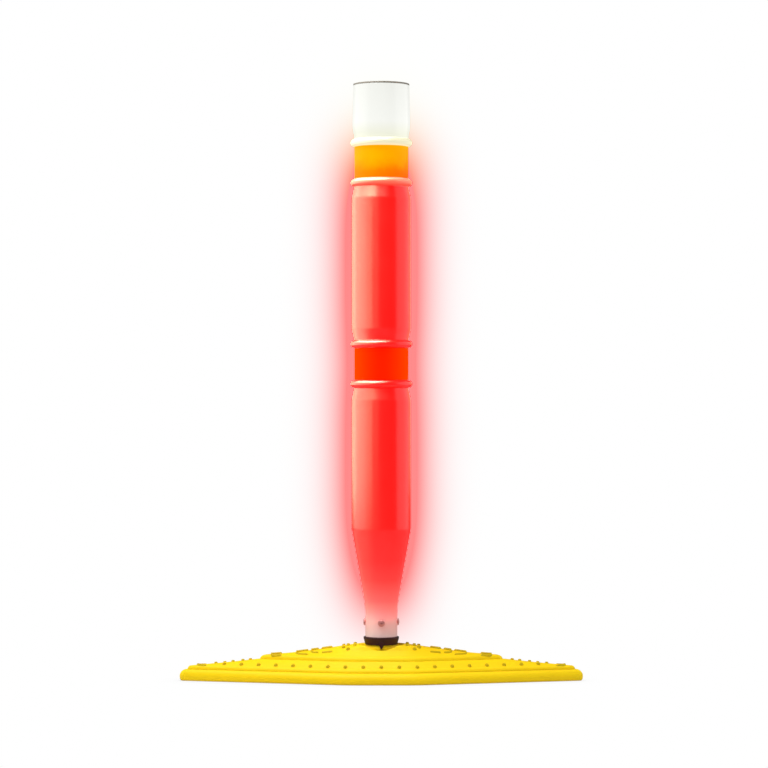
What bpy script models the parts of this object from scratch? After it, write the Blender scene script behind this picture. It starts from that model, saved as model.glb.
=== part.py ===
"""Illuminated traffic delineator post, standing in a moulded yellow rubber base.

Frame: +Z is up, +X runs along the base, -Y is the front. The origin lies on the ground under the
axis of the post. Every size is in metres.
"""
import math

import bmesh
import bpy
from mathutils import Matrix

# ---------------------------------------------------------------- driving dimensions
GAP = 0.0003                    # between pieces that touch
RUNNING_GAP = 0.0010            # round the plug, which turns in the base
CUT_MARGIN = 0.0050             # how far a cutter runs past the face that it opens

# rubber base: a long pad with blunt points, in three tiers
BASE_HALF_LENGTH = 0.336
BASE_HALF_DEPTH = 0.079
BASE_FLAT_HALF = 0.057          # half of the straight front and back edges
BASE_TIP_HALF = 0.0085          # half width of the blunt points
CORNER_RADIUS = 0.016           # front and back corners, seen from above
RIM_HEIGHT = 0.0185
RIM_WIDEST_HEIGHT = 0.0070      # the rim bulges out to its full size here
RIM_FOOT_INSET = 0.0022
GROOVE_INSET = 0.0130           # foot of the middle tier, in from the rim's edge
GROOVE_DEPTH = 0.0012
GROOVE_WIDTH = 0.0012
MIDDLE_EDGE_RISE = 0.0072       # rounded edge of the middle tier
MIDDLE_EDGE_ROUND = 0.0055
MIDDLE_BREAK_HALF_LENGTH = 0.262    # past here the middle tier climbs more steeply
MIDDLE_BREAK_HALF_DEPTH = 0.0545
MIDDLE_BREAK_HEIGHT = 0.0292
TOP_TIER_HALF_LENGTH = 0.202
TOP_TIER_HALF_DEPTH = 0.0470
TOP_TIER_FLAT_HALF = 0.0530
TOP_TIER_TIP_HALF = 0.0065
TOP_TIER_FOOT = 0.0358          # height of the top tier's foot
TOP_TIER_RISE = 0.0080
TOP_TIER_ROUND = 0.0070         # its rounded edge, seen from above
TOP_TIER_NOSE = 0.0130          # the same at its two points
RIDGE_HEEL_HALF_LENGTH = 0.152  # the ridge is nearly level out to its heel
RIDGE_HEEL_HEIGHT = 0.0454
CROWN_FOOT_HALF_DEPTH = 0.0309  # the roof steepens here, so its face falls away before the collar
CROWN_FOOT_HEIGHT = 0.0515
CROWN_SHOULDER_HALF_LENGTH = 0.053
CROWN_SHOULDER_HALF_DEPTH = 0.0270
CROWN_SHOULDER_HEIGHT = 0.0585
CROWN_HALF_LENGTH = 0.038
CROWN_HALF_DEPTH = 0.0262
CROWN_FLAT_HALF = 0.031
CROWN_TIP_HALF = 0.012
CROWN_HEIGHT = 0.0600           # flat land round the socket
SOCKET_FLOOR = 0.009            # rubber left under the plug

# twist-lock plug between base and tube
SPIGOT_RADIUS = 0.0195          # lower part, down in the base
COLLAR_RADIUS = 0.0295
COLLAR_FOOT_RADIUS = 0.0270
COLLAR_HEIGHT = 0.0125
COLLAR_LIP = 0.0030
COLLAR_CHAMFER = 0.0006
PLUG_CHAMFER = 0.0015           # both ends of the plug
LUG_REACH = 0.0055              # locking lugs, out from the lower part
LUG_WIDTH = 0.012
LUG_BOTTOM = 0.020
LUG_HEIGHT = 0.008
PLUG_ENGAGEMENT = 0.036         # upper part, up in the neck
POINTER_WIDTH = 0.0078
POINTER_LENGTH = 0.0075
POINTER_THICKNESS = 0.0018
POINTER_TIP_HALF = 0.0005
POINTER_ROOT_DEPTH = 0.0002     # how deep its back is joined to the collar

# tube
NECK_RADIUS = 0.0266
NECK_LENGTH = 0.0492
CONE_LENGTH = 0.1300
TUBE_RADIUS = 0.0496
TUBE_WALL = 0.0032
LOWER_TUBE_LENGTH = 0.2145
UPPER_TUBE_LENGTH = 0.2165
LOWER_SHOULDER = 0.0200         # tube down to the waist under a band
UPPER_SHOULDER = 0.0190         # waist over a band back to the tube
SHOULDER_EASE_LENGTH = 0.0035   # soft turn where a shoulder meets the tube
SHOULDER_EASE_STEP = 0.0006
WAIST_STEP = 0.0043             # waists under the bands, in from the tube
BEAD_RADIUS = 0.0065            # section of the raised rings
BAND_LENGTH = 0.0535            # between the two rings
BAND_THICKNESS = 0.0010
MOUTH_STEP = 0.0033             # top of the tube, inside the lamp, in from the waist
MOUTH_LENGTH = 0.0140

# lamp
LENS_FOOT_WALL = 0.0034
LENS_BELLY_SWELL = 0.0027       # how much fuller the lens is than at its foot
LENS_BELLY_HEIGHT = 0.0190
LENS_TOP_SWELL = 0.0010
LENS_LENGTH = 0.0885
LENS_WALL = 0.0028
LENS_FOOT_LENGTH = 0.0030       # straight stretch under the belly
LENS_BELLY_UNDER = 0.0070       # start of the belly's round, under its widest height
LENS_BELLY_OVER = 0.0120        # end of it, over its widest height
CAP_THICKNESS = 0.0026
CAP_RISE = 0.0022
CAP_PLUG_LENGTH = 0.0060
CAP_SKIRT = 0.0025
CAP_EDGE_ROUND = 0.0008

# neck bolts
BOLT_HEIGHT = 0.0240            # up from the foot of the neck
BOLT_SHANK_RADIUS = 0.0025
BOLT_HEAD_RADIUS = 0.0058
BOLT_HEAD_HEIGHT = 0.0030
BOLT_LENGTH = 0.0120            # into the neck and plug
BOLT_COUNT = 4

ROUND_STEPS = 48                # sides of the turned pieces
CORNER_STEPS = 3                # arcs at the base's corners
EDGE_STEPS = 3                  # arcs along the base's rounded edges
BEAD_STEPS = 6

# heights that follow from the sizes above
COLLAR_BOTTOM = CROWN_HEIGHT + GAP
NECK_BOTTOM = COLLAR_BOTTOM + COLLAR_HEIGHT + GAP
CONE_BOTTOM = NECK_BOTTOM + NECK_LENGTH
LOWER_TUBE_BOTTOM = CONE_BOTTOM + CONE_LENGTH
LOWER_TUBE_TOP = LOWER_TUBE_BOTTOM + LOWER_TUBE_LENGTH
RED_BAND_BOTTOM = LOWER_TUBE_TOP + LOWER_SHOULDER + 2 * BEAD_RADIUS
RED_BAND_TOP = RED_BAND_BOTTOM + BAND_LENGTH
UPPER_TUBE_BOTTOM = RED_BAND_TOP + 2 * BEAD_RADIUS + UPPER_SHOULDER
UPPER_TUBE_TOP = UPPER_TUBE_BOTTOM + UPPER_TUBE_LENGTH
AMBER_BAND_BOTTOM = UPPER_TUBE_TOP + LOWER_SHOULDER + 2 * BEAD_RADIUS
AMBER_BAND_TOP = AMBER_BAND_BOTTOM + BAND_LENGTH
LENS_BOTTOM = AMBER_BAND_TOP + 2 * BEAD_RADIUS + GAP
LENS_TOP = LENS_BOTTOM + LENS_LENGTH
WAIST_RADIUS = TUBE_RADIUS - WAIST_STEP
BAND_SEAT_RADIUS = WAIST_RADIUS - BAND_THICKNESS - GAP
MOUTH_RADIUS = WAIST_RADIUS - MOUTH_STEP
LENS_FOOT_RADIUS = MOUTH_RADIUS + GAP + LENS_FOOT_WALL
LENS_BELLY_RADIUS = LENS_FOOT_RADIUS + LENS_BELLY_SWELL
LENS_TOP_RADIUS = LENS_FOOT_RADIUS + LENS_TOP_SWELL
NECK_BORE = NECK_RADIUS - TUBE_WALL
SOCKET_RADIUS = SPIGOT_RADIUS + RUNNING_GAP


# ---------------------------------------------------------------- helpers
def clear_scene():
    for old in list(bpy.data.objects):
        bpy.data.objects.remove(old, do_unlink=True)


def material(name, colour, roughness, metallic=0.0, glow=None):
    made = bpy.data.materials.new(name)
    made.use_nodes = True
    shader = made.node_tree.nodes["Principled BSDF"]
    shader.inputs["Base Color"].default_value = (*colour, 1.0)
    shader.inputs["Roughness"].default_value = roughness
    shader.inputs["Metallic"].default_value = metallic
    if glow:
        shader.inputs["Emission Color"].default_value = (*colour, 1.0)
        shader.inputs["Emission Strength"].default_value = glow
    return made


def between(start, end, share):
    return start + (end - start) * share


def mesh_object(name, bm, finish):
    mesh = bpy.data.meshes.new(name)
    bm.to_mesh(mesh)
    bm.free()
    made = bpy.data.objects.new(name, mesh)
    bpy.context.scene.collection.objects.link(made)
    if finish:
        mesh.materials.append(finish)
    return made


def turned(name, profile, finish, steps=ROUND_STEPS):
    """Turn a closed (radius, height) profile about Z; the outer side runs from top to bottom."""
    bm = bmesh.new()
    points = [bm.verts.new((radius, 0.0, height)) for radius, height in profile]
    for start, end in zip(points, points[1:]):
        bm.edges.new((start, end))
    if profile[0][0] > 0 or profile[-1][0] > 0:
        bm.edges.new((points[-1], points[0]))
    made = mesh_object(name, bm, finish)
    screw = made.modifiers.new("turn", "SCREW")
    screw.steps = steps
    screw.render_steps = steps
    screw.use_merge_vertices = True
    screw.merge_threshold = 0.00001
    screw.use_smooth_shade = True
    return made


def arc(centre_radius, centre_height, radius, start, end, steps):
    """Points on an arc, angles in degrees from the outward direction."""
    angles = [math.radians(start + (end - start) * i / steps) for i in range(steps + 1)]
    return [(centre_radius + radius * math.cos(a), centre_height + radius * math.sin(a)) for a in angles]


def rounded_outline(corners, radii, steps):
    """A closed outline with each corner turned into an arc of its own radius."""
    points = []
    count = len(corners)
    for i, (x, y) in enumerate(corners):
        before = corners[i - 1]
        after = corners[(i + 1) % count]
        to_before = math.atan2(before[1] - y, before[0] - x)
        to_after = math.atan2(after[1] - y, after[0] - x)
        opening = (to_before - to_after) % (2 * math.pi)
        half = opening / 2
        reach = radii[i] / math.sin(half)
        middle = to_after + half
        centre = (x + reach * math.cos(middle), y + reach * math.sin(middle))
        sweep = math.pi - opening
        for step in range(steps + 1):
            angle = middle + math.pi - sweep / 2 + sweep * step / steps
            points.append((centre[0] + radii[i] * math.cos(angle), centre[1] + radii[i] * math.sin(angle)))
    return points


def pad_outline(half_length, half_depth, flat_half, tip_half):
    """Plan of one tier: straight front and back, slanted sides, blunt points."""
    quarter = [(flat_half, -half_depth), (half_length, -tip_half)]
    mirrored = [(x, -y) for x, y in reversed(quarter)]
    right = quarter + mirrored
    left = [(-x, -y) for x, y in right]
    radii = [min(CORNER_RADIUS, flat_half * 0.4), tip_half * 0.9]
    return rounded_outline(right + left, (radii + radii[::-1]) * 2, CORNER_STEPS)


def block(name, low, high):
    bm = bmesh.new()
    bmesh.ops.create_cube(bm, size=1.0)
    size = [b - a for a, b in zip(low, high)]
    centre = [(a + b) / 2 for a, b in zip(low, high)]
    bmesh.ops.transform(bm, matrix=Matrix.Diagonal((*size, 1.0)), verts=bm.verts)
    bmesh.ops.translate(bm, vec=centre, verts=bm.verts)
    return mesh_object(name, bm, None)


def rod(name, radius, start, end, turn, height, steps=16):
    """A round cutter along the direction at angle turn, between two distances from the axis."""
    bm = bmesh.new()
    bmesh.ops.create_cone(bm, cap_ends=True, segments=steps, radius1=radius, radius2=radius, depth=end - start)
    bmesh.ops.translate(bm, vec=(0, 0, (start + end) / 2), verts=bm.verts)
    bmesh.ops.rotate(bm, matrix=Matrix.Rotation(math.radians(90), 3, "Y"), verts=bm.verts)
    bmesh.ops.rotate(bm, matrix=Matrix.Rotation(turn, 3, "Z"), verts=bm.verts)
    bmesh.ops.translate(bm, vec=(0, 0, height), verts=bm.verts)
    return mesh_object(name, bm, None)


def as_tool(tool):
    tool.hide_render = True
    tool.display_type = "WIRE"
    return tool


def shape_with(body, tool, operation):
    boolean = body.modifiers.new(operation.lower(), "BOOLEAN")
    boolean.operation = operation
    boolean.solver = "EXACT"
    boolean.object = as_tool(tool)


# ---------------------------------------------------------------- base
def base_sections():
    """Outlines of the base from the ground to its crown, as (height, outline) pairs."""
    def rim(inset):
        tip = between(BASE_TIP_HALF, BASE_TIP_HALF * 0.5, inset / GROOVE_INSET)
        flat = BASE_FLAT_HALF - inset * 0.15
        return pad_outline(BASE_HALF_LENGTH - inset, BASE_HALF_DEPTH - inset, flat, tip)

    sections = [(0.0, rim(RIM_FOOT_INSET)), (RIM_WIDEST_HEIGHT * 0.3, rim(RIM_FOOT_INSET * 0.25))]
    rim_round = GROOVE_INSET - GROOVE_WIDTH
    for step in range(EDGE_STEPS + 1):
        angle = math.radians(90 * step / EDGE_STEPS)
        height = between(RIM_WIDEST_HEIGHT, RIM_HEIGHT, math.sin(angle))
        sections.append((height, rim(rim_round * (1 - math.cos(angle)))))

    groove_floor = RIM_HEIGHT - GROOVE_DEPTH
    sections.append((groove_floor, rim(GROOVE_INSET)))
    for step in range(1, EDGE_STEPS + 1):
        angle = math.radians(90 * step / EDGE_STEPS)
        height = groove_floor + MIDDLE_EDGE_RISE * math.sin(angle)
        sections.append((height, rim(GROOVE_INSET + MIDDLE_EDGE_ROUND * (1 - math.cos(angle)))))
    middle_flat = (BASE_FLAT_HALF + TOP_TIER_FLAT_HALF) / 2
    sections.append((MIDDLE_BREAK_HEIGHT, pad_outline(
        MIDDLE_BREAK_HALF_LENGTH, MIDDLE_BREAK_HALF_DEPTH, middle_flat, TOP_TIER_TIP_HALF)))

    for step in range(EDGE_STEPS + 1):
        angle = math.radians(90 * step / EDGE_STEPS)
        height = TOP_TIER_FOOT + TOP_TIER_RISE * math.sin(angle)
        turned_in = 1 - math.cos(angle)
        sections.append((height, pad_outline(
            TOP_TIER_HALF_LENGTH - TOP_TIER_NOSE * turned_in,
            TOP_TIER_HALF_DEPTH - TOP_TIER_ROUND * turned_in,
            TOP_TIER_FLAT_HALF, TOP_TIER_TIP_HALF)))

    # from the top tier's edge the roof runs straight up to the foot of the crown, which lies on
    # the straight line of the ridge between its heel and the shoulder
    edge_height = TOP_TIER_FOOT + TOP_TIER_RISE
    climb = (RIDGE_HEEL_HEIGHT - edge_height) / (CROWN_FOOT_HEIGHT - edge_height)
    heel_depth = between(TOP_TIER_HALF_DEPTH - TOP_TIER_ROUND, CROWN_FOOT_HALF_DEPTH, climb)
    climb = (CROWN_FOOT_HEIGHT - RIDGE_HEEL_HEIGHT) / (CROWN_SHOULDER_HEIGHT - RIDGE_HEEL_HEIGHT)
    foot_length = between(RIDGE_HEEL_HALF_LENGTH, CROWN_SHOULDER_HALF_LENGTH, climb)
    shoulder_flat = between(TOP_TIER_FLAT_HALF, CROWN_FLAT_HALF, 0.4)
    foot_flat = between(TOP_TIER_FLAT_HALF, shoulder_flat, climb)
    sections.append((RIDGE_HEEL_HEIGHT, pad_outline(
        RIDGE_HEEL_HALF_LENGTH, heel_depth, TOP_TIER_FLAT_HALF, TOP_TIER_TIP_HALF)))
    sections.append((CROWN_FOOT_HEIGHT, pad_outline(
        foot_length, CROWN_FOOT_HALF_DEPTH, foot_flat, TOP_TIER_TIP_HALF)))
    sections.append((CROWN_SHOULDER_HEIGHT, pad_outline(
        CROWN_SHOULDER_HALF_LENGTH, CROWN_SHOULDER_HALF_DEPTH, shoulder_flat, CROWN_TIP_HALF)))
    sections.append((CROWN_HEIGHT, pad_outline(
        CROWN_HALF_LENGTH, CROWN_HALF_DEPTH, CROWN_FLAT_HALF, CROWN_TIP_HALF)))
    return sections


def build_base(finish):
    bm = bmesh.new()
    rings = []
    for height, outline in base_sections():
        rings.append([bm.verts.new((x, y, height)) for x, y in outline])
    count = len(rings[0])
    for lower, upper in zip(rings, rings[1:]):
        for i in range(count):
            j = (i + 1) % count
            bm.faces.new((lower[i], lower[j], upper[j], upper[i]))
    bm.faces.new(list(reversed(rings[0])))
    bm.faces.new(rings[-1])
    base = mesh_object("rubber_base", bm, finish)

    lug_room = RUNNING_GAP
    lug_radius = SPIGOT_RADIUS + LUG_REACH + RUNNING_GAP
    above = CROWN_HEIGHT + CUT_MARGIN
    socket = turned("socket_cutter", [
        (0.0, above),
        (SOCKET_RADIUS, above),
        (SOCKET_RADIUS, LUG_BOTTOM + LUG_HEIGHT + lug_room),
        (lug_radius, LUG_BOTTOM + LUG_HEIGHT + lug_room),
        (lug_radius, LUG_BOTTOM - lug_room),
        (SOCKET_RADIUS, LUG_BOTTOM - lug_room),
        (SOCKET_RADIUS, SOCKET_FLOOR),
        (0.0, SOCKET_FLOOR),
    ], None)
    shape_with(base, socket, "DIFFERENCE")

    # the lugs come out sideways at the front and back of the socket
    half_slot = LUG_WIDTH / 2 + RUNNING_GAP
    slot = block("lug_slot_cutter", (-half_slot, -lug_radius, LUG_BOTTOM), (half_slot, lug_radius, above))
    shape_with(base, slot, "DIFFERENCE")

    # the pointer swings in a ring-shaped groove
    pointer_bottom = COLLAR_BOTTOM - POINTER_LENGTH - RUNNING_GAP
    groove_inner = COLLAR_FOOT_RADIUS - RUNNING_GAP
    groove_outer = COLLAR_FOOT_RADIUS + POINTER_THICKNESS + 2 * RUNNING_GAP
    swing = turned("pointer_groove_cutter", [
        (groove_outer, above),
        (groove_outer, pointer_bottom),
        (groove_inner, pointer_bottom),
        (groove_inner, above),
    ], None)
    shape_with(base, swing, "DIFFERENCE")
    return base


# ---------------------------------------------------------------- twist-lock plug
def build_plug(finish):
    top = NECK_BOTTOM + PLUG_ENGAGEMENT
    plug_radius = NECK_BORE - GAP
    collar_top = COLLAR_BOTTOM + COLLAR_HEIGHT
    bottom = SOCKET_FLOOR + RUNNING_GAP
    plug = turned("twist_lock_plug", [
        (0.0, top),
        (plug_radius - PLUG_CHAMFER, top),
        (plug_radius, top - PLUG_CHAMFER),
        (plug_radius, collar_top),
        (COLLAR_RADIUS - COLLAR_CHAMFER, collar_top),
        (COLLAR_RADIUS, collar_top - COLLAR_CHAMFER),
        (COLLAR_RADIUS, collar_top - COLLAR_LIP),
        (COLLAR_FOOT_RADIUS, COLLAR_BOTTOM),
        (SPIGOT_RADIUS, COLLAR_BOTTOM),
        (SPIGOT_RADIUS, bottom + PLUG_CHAMFER),
        (SPIGOT_RADIUS - PLUG_CHAMFER, bottom),
        (0.0, bottom),
    ], finish)

    reach = SPIGOT_RADIUS + LUG_REACH
    lug_top = LUG_BOTTOM + LUG_HEIGHT
    lugs = block("lug_tool", (-reach, -LUG_WIDTH / 2, LUG_BOTTOM), (reach, LUG_WIDTH / 2, lug_top))
    shape_with(plug, lugs, "UNION")

    # a pointer hangs from the front of the collar and tapers to its tip
    bm = bmesh.new()
    outer = -(COLLAR_FOOT_RADIUS + POINTER_THICKNESS)
    inner = -(COLLAR_FOOT_RADIUS - POINTER_ROOT_DEPTH)
    root = COLLAR_BOTTOM + COLLAR_HEIGHT / 2
    tip = COLLAR_BOTTOM - POINTER_LENGTH
    outline = [
        (-POINTER_WIDTH / 2, root),
        (-POINTER_WIDTH / 2, COLLAR_BOTTOM),
        (-POINTER_TIP_HALF, tip),
        (POINTER_TIP_HALF, tip),
        (POINTER_WIDTH / 2, COLLAR_BOTTOM),
        (POINTER_WIDTH / 2, root),
    ]
    front = [bm.verts.new((x, outer, z)) for x, z in outline]
    back = [bm.verts.new((x, inner, z)) for x, z in outline]
    count = len(outline)
    for i in range(count):
        j = (i + 1) % count
        bm.faces.new((front[j], front[i], back[i], back[j]))
    bm.faces.new(front)
    bm.faces.new(list(reversed(back)))
    shape_with(plug, mesh_object("pointer_tool", bm, None), "UNION")

    for tool in bolt_holes("plug_hole", BOLT_SHANK_RADIUS + GAP):
        shape_with(plug, tool, "DIFFERENCE")
    return plug


# ---------------------------------------------------------------- tube
def band_zone(bottom):
    """Outer side of a ring, the seat of a band and a second ring, from top to bottom."""
    top = bottom + BAND_LENGTH
    ring_radius = WAIST_RADIUS
    upper = arc(ring_radius, top + BEAD_RADIUS, BEAD_RADIUS, 90, -90, BEAD_STEPS)
    lower = arc(ring_radius, bottom - BEAD_RADIUS, BEAD_RADIUS, 90, -90, BEAD_STEPS)
    return upper + [(BAND_SEAT_RADIUS, top), (BAND_SEAT_RADIUS, bottom)] + lower


def build_tube(finish):
    bore = TUBE_RADIUS - TUBE_WALL
    waist_bore = BAND_SEAT_RADIUS - TUBE_WALL
    mouth_top = LENS_BOTTOM + MOUTH_LENGTH
    mouth_bottom = AMBER_BAND_TOP + 2 * BEAD_RADIUS
    eased_radius = TUBE_RADIUS - SHOULDER_EASE_STEP
    outer = [
        (MOUTH_RADIUS, mouth_top),
        (MOUTH_RADIUS, mouth_bottom),
        *band_zone(AMBER_BAND_BOTTOM),
        (eased_radius, UPPER_TUBE_TOP + SHOULDER_EASE_LENGTH),
        (TUBE_RADIUS, UPPER_TUBE_TOP),
        (TUBE_RADIUS, UPPER_TUBE_BOTTOM),
        (eased_radius, UPPER_TUBE_BOTTOM - SHOULDER_EASE_LENGTH),
        *band_zone(RED_BAND_BOTTOM),
        (eased_radius, LOWER_TUBE_TOP + SHOULDER_EASE_LENGTH),
        (TUBE_RADIUS, LOWER_TUBE_TOP),
        (TUBE_RADIUS, LOWER_TUBE_BOTTOM),
        (NECK_RADIUS, CONE_BOTTOM),
        (NECK_RADIUS, NECK_BOTTOM),
    ]
    inner = [
        (NECK_BORE, NECK_BOTTOM),
        (NECK_BORE, CONE_BOTTOM),
        (bore, LOWER_TUBE_BOTTOM),
        (bore, LOWER_TUBE_TOP),
        (waist_bore, RED_BAND_BOTTOM - 2 * BEAD_RADIUS),
        (waist_bore, RED_BAND_TOP + 2 * BEAD_RADIUS),
        (bore, UPPER_TUBE_BOTTOM),
        (bore, UPPER_TUBE_TOP),
        (waist_bore, AMBER_BAND_BOTTOM - 2 * BEAD_RADIUS),
        (waist_bore, AMBER_BAND_TOP),
        (MOUTH_RADIUS - TUBE_WALL, mouth_bottom - BEAD_RADIUS),
        (MOUTH_RADIUS - TUBE_WALL, mouth_top),
    ]
    tube = turned("tube_body", outer + inner, finish)
    for tool in bolt_holes("neck_hole", BOLT_SHANK_RADIUS + GAP):
        shape_with(tube, tool, "DIFFERENCE")
    return tube


def build_band(name, bottom, finish):
    inner = BAND_SEAT_RADIUS + GAP
    outer = inner + BAND_THICKNESS
    low = bottom + GAP
    high = bottom + BAND_LENGTH - GAP
    return turned(name, [(outer, high), (outer, low), (inner, low), (inner, high)], finish)


# ---------------------------------------------------------------- lamp
def build_lens(finish):
    belly = LENS_BOTTOM + LENS_BELLY_HEIGHT
    bore = MOUTH_RADIUS + GAP
    outer = [
        (LENS_TOP_RADIUS, LENS_TOP),
        (between(LENS_BELLY_RADIUS, LENS_TOP_RADIUS, 0.18), belly + LENS_BELLY_OVER),
        (LENS_BELLY_RADIUS, belly),
        (between(LENS_BELLY_RADIUS, LENS_FOOT_RADIUS, 0.3), belly - LENS_BELLY_UNDER),
        (LENS_FOOT_RADIUS, LENS_BOTTOM + LENS_FOOT_LENGTH),
        (LENS_FOOT_RADIUS, LENS_BOTTOM),
    ]
    inner = [
        (bore, LENS_BOTTOM),
        (bore, LENS_BOTTOM + MOUTH_LENGTH + 0.001),
        (LENS_TOP_RADIUS - LENS_WALL, belly),
        (LENS_TOP_RADIUS - LENS_WALL, LENS_TOP),
    ]
    return turned("lamp_lens", outer + inner, finish)


def build_cap(finish):
    bottom = LENS_TOP + GAP
    top = bottom + CAP_THICKNESS
    plug_radius = LENS_TOP_RADIUS - LENS_WALL - GAP
    skirt_radius = plug_radius - CAP_SKIRT
    dome = [(LENS_TOP_RADIUS * f, top + CAP_RISE * (1 - f * f)) for f in (0.0, 0.35, 0.65, 0.88)]
    return turned("lamp_cap", dome + [
        (LENS_TOP_RADIUS - CAP_EDGE_ROUND, top),
        (LENS_TOP_RADIUS, top - CAP_EDGE_ROUND),
        (LENS_TOP_RADIUS, bottom),
        (plug_radius, bottom),
        (plug_radius, bottom - CAP_PLUG_LENGTH),
        (skirt_radius, bottom - CAP_PLUG_LENGTH),
        (skirt_radius, bottom),
        (0.0, bottom),
    ], finish)


# ---------------------------------------------------------------- neck bolts
def bolt_turns():
    return [2 * math.pi * i / BOLT_COUNT - math.pi / 2 for i in range(BOLT_COUNT)]


def bolt_holes(name, radius):
    start = NECK_RADIUS - BOLT_LENGTH - GAP
    end = NECK_RADIUS + CUT_MARGIN
    height = NECK_BOTTOM + BOLT_HEIGHT
    return [rod(f"{name}_{i}", radius, start, end, turn, height) for i, turn in enumerate(bolt_turns())]


def build_bolts(finish):
    """Bolts through the neck into the plug, each with its head flat against the tube."""
    seat = GAP
    first = turned("neck_bolt_front", [
        (0.0, seat + BOLT_HEAD_HEIGHT),
        (BOLT_HEAD_RADIUS * 0.72, seat + BOLT_HEAD_HEIGHT),
        (BOLT_HEAD_RADIUS * 0.93, seat + BOLT_HEAD_HEIGHT * 0.75),
        (BOLT_HEAD_RADIUS, seat + BOLT_HEAD_HEIGHT * 0.35),
        (BOLT_HEAD_RADIUS, seat),
        (BOLT_SHANK_RADIUS, seat),
        (BOLT_SHANK_RADIUS, -BOLT_LENGTH),
        (0.0, -BOLT_LENGTH),
    ], finish, steps=16)
    names = ("neck_bolt_front", "neck_bolt_right", "neck_bolt_back", "neck_bolt_left")
    for name, turn in zip(names, bolt_turns()):
        bolt = first
        if name != first.name:
            bolt = first.copy()
            bolt.name = name
            bpy.context.scene.collection.objects.link(bolt)
        height = NECK_BOTTOM + BOLT_HEIGHT
        place = Matrix.Translation((NECK_RADIUS * math.cos(turn), NECK_RADIUS * math.sin(turn), height))
        outward = Matrix.Rotation(turn, 4, "Z") @ Matrix.Rotation(math.radians(90), 4, "Y")
        bolt.matrix_world = place @ outward


# ---------------------------------------------------------------- whole object
def build():
    clear_scene()
    rubber = material("yellow_rubber", (0.93, 0.73, 0.01), 0.55)
    dark_plastic = material("dark_brown_plastic", (0.035, 0.012, 0.010), 0.45)
    lit_tube = material("lit_translucent_plastic", (0.95, 0.03, 0.02), 0.25, glow=0.6)
    red_sheeting = material("red_sheeting", (0.95, 0.05, 0.0), 0.35, glow=0.4)
    amber_lens = material("amber_lens", (1.0, 0.35, 0.0), 0.25, glow=0.6)
    white_lens = material("white_lens", (0.92, 0.94, 0.90), 0.30)
    cap_plastic = material("grey_cap_plastic", (0.55, 0.53, 0.48), 0.35)
    bolt_metal = material("bolt_steel", (0.42, 0.28, 0.26), 0.35, metallic=0.6)

    build_base(rubber)
    build_plug(dark_plastic)
    build_tube(lit_tube)
    build_band("red_band", RED_BAND_BOTTOM, red_sheeting)
    build_band("amber_band", AMBER_BAND_BOTTOM, amber_lens)
    build_lens(white_lens)
    build_cap(cap_plastic)
    build_bolts(bolt_metal)


build()
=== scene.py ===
"""The looks of an illuminated traffic delineator post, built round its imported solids.

Frame: +Z up, +X along the base, -Y the front, origin on the ground under the post's axis.
Sizes are in metres, written as millimetres times MM.
"""
import math

import bmesh
import bpy
from mathutils import Matrix, Vector
from mathutils.bvhtree import BVHTree


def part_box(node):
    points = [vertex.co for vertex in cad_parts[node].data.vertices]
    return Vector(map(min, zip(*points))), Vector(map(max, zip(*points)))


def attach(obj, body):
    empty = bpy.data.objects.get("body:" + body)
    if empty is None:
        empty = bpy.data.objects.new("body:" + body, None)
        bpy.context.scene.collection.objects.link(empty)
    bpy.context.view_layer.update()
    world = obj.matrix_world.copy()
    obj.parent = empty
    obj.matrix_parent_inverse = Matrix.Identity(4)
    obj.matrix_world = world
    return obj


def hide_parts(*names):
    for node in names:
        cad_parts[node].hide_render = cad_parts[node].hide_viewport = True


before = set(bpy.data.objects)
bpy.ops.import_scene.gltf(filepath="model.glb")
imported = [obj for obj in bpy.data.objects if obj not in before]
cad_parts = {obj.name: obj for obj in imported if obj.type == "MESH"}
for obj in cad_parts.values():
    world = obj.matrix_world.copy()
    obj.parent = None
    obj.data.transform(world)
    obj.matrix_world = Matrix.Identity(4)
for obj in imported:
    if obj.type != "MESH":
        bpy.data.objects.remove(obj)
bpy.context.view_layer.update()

MM = 0.001
UP = Vector((0, 0, 1))
CAMERA_LENS = 121.9
CAMERA_PLACE = (0.0045, -4.333, 0.4933)

# ---------------------------------------------------------------- sizes
TURNED_STEPS = 160              # sides of the round pieces
SEAM = 0.3 * MM                 # hairline between pieces that touch

# places and radii that the solids give
BASE_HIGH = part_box("rubber_base")[1]
TUBE_LOW, TUBE_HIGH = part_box("tube_body")
PLUG_LOW, PLUG_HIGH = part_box("twist_lock_plug")
LENS_LOW, LENS_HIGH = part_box("lamp_lens")
CAP_LOW, CAP_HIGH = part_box("lamp_cap")
BANDS = {name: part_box(name) for name in ("red_band", "amber_band")}
RING_RADIUS = TUBE_HIGH[0]
WAIST_RADIUS = BANDS["red_band"][1][0]
BEAD_RADIUS = RING_RADIUS - WAIST_RADIUS

# tube
TUBE_RADIUS = 49.6 * MM
NECK_RADIUS = 26.6 * MM
NECK_LENGTH = 49.2 * MM
CONE_LENGTH = 130.0 * MM
CONE_FOOT_EASING = 16 * MM      # how softly the cone runs into the neck
TUBE_FOOT_EASING = 3 * MM       # how softly the cone runs into the tube above it
SHOULDER_UNDER_BAND = 20.0 * MM
SHOULDER_OVER_BAND = 19.0 * MM
WAIST_EASING = 0.8 * MM         # between a waist and its shoulder
TUBE_WALL = 3.2 * MM
WAIST_THICKENING = 1.5 * MM     # extra wall, inwards, at the foot of the red band
MOUTH_RADIUS = 42.0 * MM
BAND_THICKNESS = 1.0 * MM       # a band lies this deep in the waist

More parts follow.
